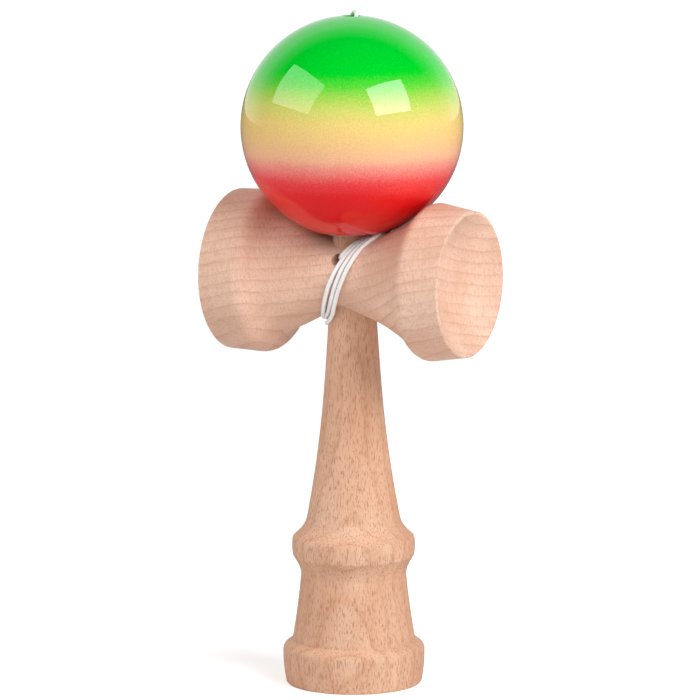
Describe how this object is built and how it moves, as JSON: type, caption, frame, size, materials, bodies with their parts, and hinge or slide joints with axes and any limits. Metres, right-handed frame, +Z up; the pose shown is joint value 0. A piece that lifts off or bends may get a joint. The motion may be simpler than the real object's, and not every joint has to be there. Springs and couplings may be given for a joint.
{
  "type": "kendama",
  "caption": "Wooden kendama skill toy: turned stick with a spike and a base cup, crosspiece with a cup at each end, and a lacquered ball tied on by a wound string.",
  "frame": {"origin": "centre of the stick's base, on the surface it stands on", "axes": "+Z up the stick towards the ball, +X along the crosspiece towards the small cup, -Y the front, where the string's hole is"},
  "size_m": [0.0714, 0.0614, 0.1867],
  "materials": {
    "stick_beech": "bare sanded beech",
    "crosspiece_beech": "bare sanded beech",
    "ball_lacquer": "gloss lacquer on wood, faded from green at the top through yellow to red at the bottom",
    "bead_wood": "bare wood",
    "string_cotton": "matt braided cord"
  },
  "bodies": {
    "stick": {"stick": "stick_beech", "string_stick_end": "string_cotton"},
    "crosspiece": {"crosspiece": "crosspiece_beech", "string_winding": "string_cotton", "string_tail": "string_cotton", "string_drop": "string_cotton"},
    "string_end": {"string_ball_end": "string_cotton", "ball_bead": "bead_wood"},
    "ball": {"ball": "ball_lacquer"}
  },
  "joints": [
    {"name": "crosspiece_slide", "type": "slide", "parent": "stick", "child": "crosspiece", "axis": [0, 0, 1], "range_m": [0, 0.06]},
    {"name": "ball_lift", "type": "slide", "parent": "crosspiece", "child": "string_end", "axis": [0, 0, 1], "range_m": [0, 0.045], "deforming": ["string_drop"]},
    {"name": "ball_spin", "type": "hinge", "parent": "string_end", "child": "ball", "pos_m": [0, 0, 0.1524], "axis": [0, 0, 1], "continuous": true}
  ]
}
